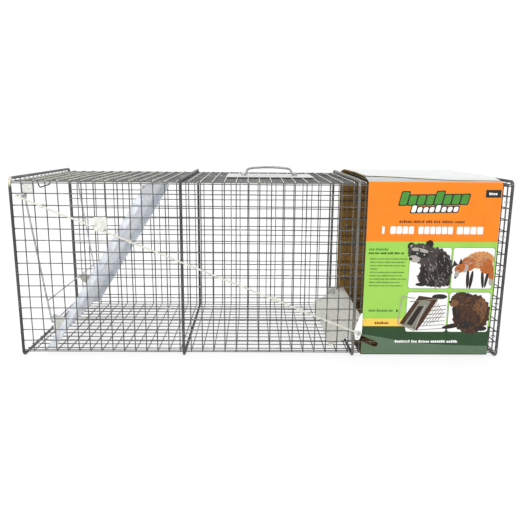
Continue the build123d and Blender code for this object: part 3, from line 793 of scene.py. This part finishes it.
def card_section(inset):
    """(y, z, side) round the card, inset from its outer face; side names the panel it bows with."""
    radius = max(0.5 * MM, card_fold - inset)
    low = (card_low.y + inset, card_low.z + inset)
    high = (card_high.y - inset, card_high.z - inset)
    heights = [h * MM for h in range(10, 390, 12)] + [lime_from, orange_from]
    heights = sorted(card_low.z + h for h in heights)
    clear = radius + 1 * MM
    heights = [z for z in heights if low[1] + clear < z < high[1] - clear]
    flat = high[0] - low[0] - 2 * radius
    widths = [low[0] + radius + flat * i / 34 for i in range(1, 34)]

    def fold(cy, cz, start, side):
        angles = [math.radians(start - 18 * k) for k in range(6)]
        return [(cy + radius * math.cos(a), cz + radius * math.sin(a), side) for a in angles]

    points = [(low[0], z, "near") for z in heights]
    points += fold(low[0] + radius, high[1] - radius, 180, "near fold")
    points += [(y, high[1], "top") for y in widths]
    points += fold(high[0] - radius, high[1] - radius, 90, "far fold")
    points += [(high[0], z, "far") for z in reversed(heights)]
    points += fold(high[0] - radius, low[1] + radius, 0, "far fold")
    points += [(y, low[1], "bottom") for y in reversed(widths)]
    points += fold(low[0] + radius, low[1] + radius, -90, "near fold")
    return points


def on_card(x, y, z, side):
    """A point of the card, moved out where its panels bow."""
    if side == "near":
        y -= near_bow * bow(z - card_low.z)
    elif side == "far":
        y += far_bow * bow(z - card_low.z)
    elif side == "top":
        along = (x - card_low.x) / card_length
        across = (y - card_low.y) / card_width
        crown = math.sin(math.pi * across)
        edge = math.sin(math.pi / 2 * min(1.0, min(across, 1 - across) / 0.16))
        ripple = top_ripple * noise.noise(Vector((x * 16, y * 12, 0.0)))
        z += top_bulge * (1 - 0.12 * along) * edge * (0.8 + 0.2 * crown) + ripple * crown ** 0.5
    return Vector((x, y, z))


def card_ink(z, side):
    """Which print a face of the outside takes."""
    height = z - card_low.z
    if side in ("top", "bottom"):
        return TOP
    return FOREST if height < lime_from else LIME if height < orange_from else ORANGE


def card_tube():
    """The folded card: an outer skin, an inner skin and the cut edges between them."""
    shell = Shell()
    section = card_section(0.0)
    skins = []
    for outline in (section, card_section(card_t)):
        rows = []
        for i in range(card_columns + 1):
            x = card_low.x + card_length * i / card_columns
            rows.append([shell.add(on_card(x, y, z, side)) for y, z, side in outline])
        skins.append(rows)
    outer, inner = skins
    for i in range(card_columns):
        for k, (_, z, side) in enumerate(section):
            j = (k + 1) % len(section)
            _, next_z, next_side = section[j]
            if side.endswith("fold") and next_side in ("top", "bottom"):
                side = next_side
            corners = (outer[i][k], outer[i + 1][k], outer[i + 1][j], outer[i][j])
            shell.face(corners, card_ink((z + next_z) / 2, side))
            shell.face((inner[i][k], inner[i][j], inner[i + 1][j], inner[i + 1][k]), KRAFT)
    for end in (0, card_columns):
        shell.bridge(outer[end], inner[end], CUT)
    piece = make_piece("printed_sleeve", shell, "cage", card_finishes, 35)
    tidy_mesh(piece)
    cut_notch(piece)
    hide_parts("card_sleeve")


rod_line = joint("trigger_rod_slide")["axis"]
rod_fall = math.atan2(-rod_line[2], rod_line[0])
notch_rise = 33.5 * MM  # the floor's cross wires up to the middle of the notch's mouth
notch_mouth = Vector((card_low.x, card_low.y, floor_z + notch_rise))
notch_depth = 41 * MM
notch_half = 6.7 * MM
notch_lead = 20 * MM  # how far the cutter starts before the card's edge


def cut_notch(piece):
    """Opens the slanting notch that clears the end of the trigger rod."""
    shell = Shell()
    along = Vector((math.cos(rod_fall), 0, -math.sin(rod_fall)))
    up = Vector((math.sin(rod_fall), 0, math.cos(rod_fall)))
    lead = notch_mouth - along * notch_lead
    centre = notch_mouth + along * (notch_depth - notch_half)
    angles = [math.radians(-90 + 15 * k) for k in range(13)]
    outline = [lead - up * notch_half]
    outline += [centre + notch_half * (math.cos(a) * along + math.sin(a) * up) for a in angles]
    outline += [lead + up * notch_half]
    near, far = [[shell.add(point + Vector((0, d * MM, 0))) for point in outline] for d in (-6, 6)]
    shell.bridge(near, far)
    shell.face(tuple(reversed(near)))
    shell.face(tuple(far))
    cutter = make_object("notch_cutter", shell, [cut_card])
    tidy_mesh(cutter)
    cut = piece.modifiers.new("notch", "BOOLEAN")
    cut.object = cutter
    cut.operation = "DIFFERENCE"
    cut.solver = "EXACT"
    bpy.context.view_layer.update()
    graph = bpy.context.evaluated_depsgraph_get()
    shaped = bpy.data.meshes.new_from_object(piece.evaluated_get(graph))
    piece.modifiers.clear()
    piece.data = shaped
    bpy.data.objects.remove(cutter)


flap_foot = 0.4 * MM  # over the card's top
flap_top = 1.1 * MM
flap_curl = 1.2 * MM  # at the cut edge


def top_flap():
    """The glued upper layer of the top, whose cut edge shows near the fold."""
    shell = Shell()
    columns = 32
    strips = 26
    far_y = card_high.y - 9 * MM
    layers = []
    for height in (flap_top, flap_foot):
        rows = []
        for i in range(columns + 1):
            share = i / columns
            x = card_low.x + card_length * (0.004 + 0.99 * share)
            near_y = card_low.y + (44 - 34 * min(1.0, share * 1.4) + 2 * math.sin(9 * share)) * MM
            row = []
            for k in range(strips + 1):
                y = near_y + (far_y - near_y) * k / strips
                lift = height + flap_curl * math.exp(-k / 1.5) * (1 - share)
                row.append(shell.add(on_card(x, y, card_high.z, "top") + Vector((0, 0, lift))))
            rows.append(row)
        layers.append(rows)
    top, foot = layers
    for first, second in zip(top, top[1:]):
        shell.bridge(first, second, closed=False)
    for first, second in zip(foot, foot[1:]):
        shell.bridge(second, first, closed=False)
    for k in (0, strips):
        shell.bridge([row[k] for row in top], [row[k] for row in foot], 1, closed=False)
    for i in (0, columns):
        shell.bridge(top[i], foot[i], 1, closed=False)
    piece = make_piece("top_flap", shell, "cage", [flap_card, flap_edge], 35)
    tidy_mesh(piece)


card_tube()
top_flap()


# --- Print on the card: flat layers of ink, laid one over another ---------------------------------
ink_layer = 0.1 * MM


def at_card(u, v, proud):
    """A place on the near face: u along it and v up it, in millimetres, and proud of it."""
    height = v * MM
    return Vector((card_low.x + u * MM, card_low.y - near_bow * bow(height) - proud, card_low.z + height))


def patch(shell, outline, layer, finish=0):
    """A filled shape on the card, as a thin slab of ink."""
    proud = ink_layer * layer
    top = [shell.add(at_card(u, v, proud)) for u, v in outline]
    foot = [shell.add(at_card(u, v, 0.0)) for u, v in outline]
    shell.bridge(foot, top, finish)
    shell.face(tuple(top), finish)
    shell.face(tuple(reversed(foot)), finish)


def oval(u, v, wide, high, tilt=0.0, count=24):
    """An oval of these half sizes, turned by tilt degrees."""
    level, upright = math.cos(math.radians(tilt)), math.sin(math.radians(tilt))
    angles = [math.tau * k / count for k in range(count)]
    spokes = [(wide * math.cos(a), high * math.sin(a)) for a in angles]
    return [(u + du * level - dv * upright, v + du * upright + dv * level) for du, dv in spokes]


def panel(u0, v0, u1, v1, radius):
    """A rectangle with rounded corners."""
    return [point for arc in rounded_corners((u0, v0), (u1, v1), radius, 4) for point in arc]


ink_colours = {
    "white": (238, 239, 237),
    "frame": (78, 104, 66),
    "yellow": (240, 198, 84),
    "moss": (88, 110, 86),
    "black": (38, 42, 38),
    "brown": (120, 62, 24),
    "leaf": (72, 140, 52),
    "text": (74, 116, 52),
    "grey_fur": (70, 63, 62),
    "dark_fur": (40, 34, 32),
    "pale_fur": (168, 162, 156),
    "red_fur": (176, 96, 42),
    "red_fur_light": (198, 138, 84),
    "brown_fur": (70, 45, 30),
    "brown_fur_light": (118, 80, 50),
    "steel": (128, 128, 116),
}
scuffed_less = ("white", "frame", "black", "brown", "text")
inks = {
    name: printed_card(name + "_ink", shade(*colour), 0.08 if name in scuffed_less else 0.32)
    for name, colour in ink_colours.items()
}
ink_names = list(inks)


def ink(name):
    """The ink's place among the print's finishes."""
    return ink_names.index(name)


def words(shell, u, v, length, height, colour, rng, layer=1):
    """A line of plain blocks in word-like groups, which spells nothing."""
    end = u + length
    while u < end - height:
        for _ in range(rng.randint(3, 8)):
            width = height * rng.choice((0.3, 0.52, 0.58, 0.66))
            if u + width > end:
                break
            tall = height * rng.choice((0.78, 0.86, 1.0))
            patch(shell, panel(u, v, u + width, v + tall, width * 0.3), layer, ink(colour))
            u += width + height * 0.16
        u += height * 0.42


def block_words(shell, groups, v, height, colour):
    """Large blocks; each group gives its start, its end and how many blocks it has."""
    for start, end, count in groups:
        pitch = (end - start) / count
        for k in range(count):
            u = start + pitch * k
            outline = panel(u + 0.6, v, u + pitch - 1.2, v + height, min(2.4, pitch * 0.25))
            patch(shell, outline, 1, ink(colour))


def picture_frames(shell):
    """Four white squares in a thin green line, two over two."""
    for v0, v1 in ((157, 249), (56, 148)):
        for u0, u1 in ((98, 189), (193, 284)):
            patch(shell, panel(u0 - 0.9, v0 - 0.9, u1 + 0.9, v1 + 0.9, 6.4), 1, ink("frame"))
            patch(shell, panel(u0, v0, u1, v1, 5.6), 2, ink("white"))


def layered(shell, first_layer, shapes):
    """Shapes of ink from the back to the front, each a little prouder than the one before."""
    for i, (colour, outline) in enumerate(shapes):
        patch(shell, outline, first_layer + 0.3 * i, ink(colour))


def stroke(u0, v0, u1, v1, width):
    """A straight line of ink."""
    length = math.hypot(u1 - u0, v1 - v0)
    nu, nv = -(v1 - v0) / length * width / 2, (u1 - u0) / length * width / 2
    return [(u0 - nu, v0 - nv), (u1 - nu, v1 - nv), (u1 + nu, v1 + nv), (u0 + nu, v0 + nv)]


def furry(rng, u, v, wide, high, tilt=0.0):
    """An oval with a ragged edge."""
    points = oval(u, v, wide, high, tilt, 44)
    ragged = []
    for k, (pu, pv) in enumerate(points):
        push = rng.uniform(0.03, 0.13) if k % 2 else 0.0
        ragged.append((pu + (pu - u) * push, pv + (pv - v) * push))
    return ragged


def hair(shell, rng, layer, place, half, lean, count, colours):
    """Short strokes of fur scattered over an oval of these half sizes, about the angle lean."""
    for k in range(count):
        angle = rng.uniform(0, math.tau)
        reach = math.sqrt(rng.random())
        u = place[0] + half[0] * reach * math.cos(angle)
        v = place[1] + half[1] * reach * math.sin(angle)
        length = rng.uniform(3.5, 8.0)
        turn = math.radians(lean + rng.uniform(-32, 32))
        tip_u, tip_v = u + length * math.cos(turn), v + length * math.sin(turn)
        outline = stroke(u, v, tip_u, tip_v, rng.uniform(0.5, 1.1))
        patch(shell, outline, layer + 0.004 * k, ink(rng.choice(colours)))


def masked_animal(shell, rng):
    """A seated grey animal with a dark mask, above the edge of its picture."""
    layered(shell, 3, [
        ("dark_fur", furry(rng, 178, 186, 10, 24, 20)),
        ("grey_fur", furry(rng, 158, 204, 34, 44, 14)),
        ("grey_fur", furry(rng, 150, 182, 32, 20)),
        ("dark_fur", furry(rng, 174, 208, 14, 30, 12)),
        ("dark_fur", furry(rng, 131, 186, 9, 22, 4)),
        ("dark_fur", furry(rng, 152, 180, 9, 18, -6)),
        ("dark_fur", oval(126, 166, 12, 4)),
        ("dark_fur", oval(154, 165, 14, 4)),
        ("dark_fur", furry(rng, 100, 251, 8, 9, 20)),
        ("dark_fur", furry(rng, 139, 256, 8, 9.5, -20)),
        ("pale_fur", oval(101, 251, 4, 5, 20)),
        ("grey_fur", furry(rng, 121, 236, 27, 21, -8)),
    ])
    hair(shell, rng, 6.8, (160, 202), (30, 40), -62, 170, ("dark_fur", "pale_fur", "black"))
    hair(shell, rng, 7.6, (121, 240), (22, 15), -40, 70, ("dark_fur", "pale_fur", "grey_fur"))
    layered(shell, 8, [
        ("pale_fur", oval(119, 243, 19, 5, -10)),
        ("black", oval(118, 234, 20, 6.4, -12)),
        ("pale_fur", furry(rng, 108, 224, 12, 7.5, -10)),
        ("black", oval(99.5, 224, 3.8, 3.2)),
        ("white", oval(113, 236, 1.2, 1.2)),
        ("white", oval(129, 233, 1.2, 1.2)),
        ("grey_fur", stroke(118, 246, 114, 229, 3.2)),
    ])


def slim_animal(shell, rng):
    """A long-legged red animal with its head down."""
    layered(shell, 3, [
        ("red_fur", furry(rng, 279, 196, 6, 26, 8)),
        ("pale_fur", furry(rng, 281, 172, 4.4, 8, 10)),
        ("dark_fur", oval(262, 179, 3.4, 21, 6)),
        ("dark_fur", oval(237, 177, 3.6, 21, -6)),
        ("dark_fur", oval(229, 179, 3.6, 22, 2)),
        ("dark_fur", oval(271, 180, 3.2, 21, -8)),
        ("red_fur_light", furry(rng, 252, 222, 31, 18, 6)),
        ("red_fur", furry(rng, 228, 213, 16, 15, -20)),
        ("red_fur", furry(rng, 268, 208, 14, 17, 12)),
    ])
    coat = ("red_fur", "red_fur_light", "pale_fur", "brown_fur_light")
    hair(shell, rng, 5.8, (250, 219), (30, 15), 190, 130, coat)
    layered(shell, 6.6, [
        ("pale_fur", furry(rng, 221, 203, 7, 9, -20)),
        ("dark_fur", [(206, 210), (211, 226), (217, 209)]),
        ("red_fur", furry(rng, 210, 203, 12, 9, 40)),
        ("dark_fur", [(193, 206), (196, 221), (205, 211)]),
        ("pale_fur", oval(204, 190, 4.8, 9, -12)),
        ("black", oval(201, 182, 2.3, 2.3)),
        ("black", oval(207, 203, 1.6, 1.6)),
    ])


def heavy_animal(shell, rng):
    """A heavy brown animal sitting up."""
    layered(shell, 3, [
        ("dark_fur", oval(204, 70, 24, 5.5, 12)),
        ("brown_fur", furry(rng, 244, 98, 40, 44, -8)),
        ("brown_fur_light", furry(rng, 262, 104, 15, 30, -8)),
        ("brown_fur", furry(rng, 236, 84, 30, 24)),
        ("dark_fur", furry(rng, 230, 73, 20, 10)),
        ("dark_fur", oval(268, 64, 14, 6)),
        ("brown_fur", furry(rng, 218, 130, 22, 18, 10)),
        ("dark_fur", furry(rng, 210, 100, 7, 16, 24)),
    ])
    coat = ("dark_fur", "brown_fur_light", "black", "brown_fur")
    hair(shell, rng, 5.6, (244, 98), (37, 42), -70, 240, coat)
    hair(shell, rng, 6.6, (220, 130), (19, 15), -20, 60, ("dark_fur", "brown_fur_light"))
    layered(shell, 7, [
        ("dark_fur", oval(233, 142, 4.6, 5)),
        ("brown_fur_light", furry(rng, 203, 123, 9, 8)),
        ("black", oval(195, 126, 3, 2.6)),
        ("black", oval(210, 134, 1.9, 1.9)),
    ])


def small_cage(shell):
    """A plain picture of an open cage."""
    uprights = [stroke(120 + 8 * k, 62 + 3 * k, 164 + 3 * k, 132 - 5 * k, 0.9) for k in range(7)]
    levels = [stroke(122 + 5 * k, 60 + 9 * k, 186, 64 + 9 * k, 0.9) for k in range(7)]
    layered(shell, 3, [
        ("dark_fur", oval(170, 138, 17, 6)),
        ("brown_fur", [(84, 76), (124, 140), (168, 134), (124, 58)]),
        ("steel", [(92, 70), (128, 130), (152, 128), (116, 62)]),
        ("dark_fur", [(100, 74), (124, 116), (136, 116), (112, 70)]),
        *(("brown_fur", wire) for wire in uprights + levels),
        ("pale_fur", stroke(80, 76, 86, 138, 2.2)),
        ("pale_fur", stroke(86, 138, 116, 134, 2.2)),
        ("pale_fur", stroke(80, 76, 118, 58, 2.2)),
        ("pale_fur", stroke(118, 58, 140, 120, 2.2)),
        ("steel", stroke(104, 126, 172, 134, 1.6)),
    ])


def badge(shell):
    """A plain mark of leaning green blocks over a pale row, where a maker would put a name."""
    lean = 0.22
    climb = 0.02
    count = 8
    rows = ((342, 22, 66, 216, "leaf", 1), (326, 12, 92, 196, "white", 3))
    for foot, height, start, end, colour, layer in rows:
        pitch = (end - start) / count
        for grow, fill, lift in ((2.2, "black", 0), (0.0, colour, 1)):
            for k in range(count):
                tall = height * (1.25 if k % 4 == 0 else 0.92)
                left = start + pitch * k + 1.6 - grow
                right = start + pitch * (k + 1) - 1.6 + grow
                outline = panel(left, foot - grow, right, foot + tall + grow, 3.2)
                leaning = [(u + lean * (v - foot), v + climb * (u - start)) for u, v in outline]
                patch(shell, leaning, layer + lift + 0.02 * k, ink(fill))


def moss_print():
    """The paler wave along the foot of the near face, cut away at the notch like the card."""
    shell = Shell()
    crest = [(u, 22 + 27 * math.exp(-((u / 105) ** 1.4))) for u in range(1, 288, 8)]
    patch(shell, [(0.3, 3)] + crest + [(287.7, 22), (287.7, 3)], 1)
    piece = make_piece("moss_print", shell, "cage", [inks["moss"]], 30)
    tidy_mesh(piece)
    cut_notch(piece)


def near_print():
    """Everything else printed on the near face, over its three bands of colour."""
    shell = Shell()
    rng = random.Random(11)
    patch(shell, [(0.6, 68.6), (0.6, 86.4), (98, 86.4), (98, 68.6)], 1, ink("yellow"))
    picture_frames(shell)
    badge(shell)
    block_words(shell, ((33, 40, 1), (51, 104, 4), (112, 189, 6), (196, 255, 4)), 279, 16.5, "white")
    words(shell, 70, 303, 144, 6.2, "brown", rng)
    patch(shell, [(253, 359), (253, 375.5), (286, 375.5), (286, 359)], 1, ink("black"))
    words(shell, 260, 364.5, 20, 5.4, "white", rng, 2)
    words(shell, 7, 242, 46, 5.4, "leaf", rng)
    words(shell, 7, 234, 80, 4.6, "black", rng)
    for i, length in enumerate((84, 80, 78, 18, 76, 74, 82, 68, 76)):
        words(shell, 11, 222 - 7.6 * i, length, 3.0, "text", rng)
    words(shell, 13, 102.5, 58, 5.2, "text", rng)
    patch(shell, [(75, 101), (75, 109), (80, 105)], 1, ink("black"))
    words(shell, 28, 73, 38, 6.6, "brown", rng)
    words(shell, 76, 29.5, 146, 6.2, "white", rng)
    small_cage(shell)
    slim_animal(shell, rng)
    heavy_animal(shell, rng)
    masked_animal(shell, rng)
    make_piece("near_print", shell, "cage", list(inks.values()), 30)


moss_print()
near_print()


# --- Studio ---------------------------------------------------------------------------------------
def floor():
    """A wide pale sheet under the trap."""
    shell = Shell()
    steps = [-30, -12, -5, -2, 0, 2, 5, 12, 30]
    rows = [[shell.add((x, y, 0)) for x in steps] for y in steps]
    for first, second in zip(rows, rows[1:]):
        shell.bridge(first, second, closed=False)
    make_object("studio_floor", shell, [studio_floor()])


def lamp(name, place, aim, width, power):
    """A square soft box that faces the aim."""
    light = bpy.data.lights.new(name, "AREA")
    light.size = width
    light.energy = power
    holder = bpy.data.objects.new(name, light)
    holder.location = place
    holder.rotation_euler = (Vector(aim) - Vector(place)).to_track_quat("-Z", "Y").to_euler()
    bpy.context.scene.collection.objects.link(holder)


def studio():
    """Even white light all round, a large soft lamp in front and one above."""
    scene = bpy.context.scene
    world = bpy.data.worlds.new("studio")
    world.use_nodes = True
    background = world.node_tree.nodes["Background"]
    background.inputs["Color"].default_value = (1.0, 1.0, 1.0, 1.0)
    background.inputs["Strength"].default_value = 1.0
    scene.world = world
    scene.view_settings.view_transform = "Standard"
    lamp("key", (-0.9, -2.6, 1.7), (0, 0, 0.2), 2.0, 36)
    lamp("top", (0.3, 0.5, 2.4), (0, 0, 0.2), 1.8, 22)


# Where the camera stands and how it is turned: yaw towards +X, pitch down, roll, in degrees
camera_place = Vector((-0.0216, -1.3912, 0.4804))
camera_yaw = 0.82
camera_pitch = 12.11
camera_roll = 0.47
camera_lens = 38.67


def camera():
    """The main view, from the near side and a little above the trap's roof."""
    yaw, pitch, roll = (math.radians(a) for a in (camera_yaw, camera_pitch, camera_roll))
    ahead = Vector((math.sin(yaw) * math.cos(pitch), math.cos(yaw) * math.cos(pitch), -math.sin(pitch)))
    level = Vector((math.cos(yaw), -math.sin(yaw), 0))
    upright = level.cross(ahead)
    right = level * math.cos(roll) + upright * math.sin(roll)
    up = upright * math.cos(roll) - level * math.sin(roll)
    turned = Matrix((right, up, -ahead)).transposed().to_4x4()
    data = bpy.data.cameras.new("camera")
    data.lens = camera_lens
    data.sensor_width = 36
    holder = bpy.data.objects.new("camera", data)
    holder.matrix_world = Matrix.Translation(camera_place) @ turned
    bpy.context.scene.collection.objects.link(holder)
    bpy.context.scene.camera = holder


floor()
studio()
camera()

bpy.context.view_layer.update()
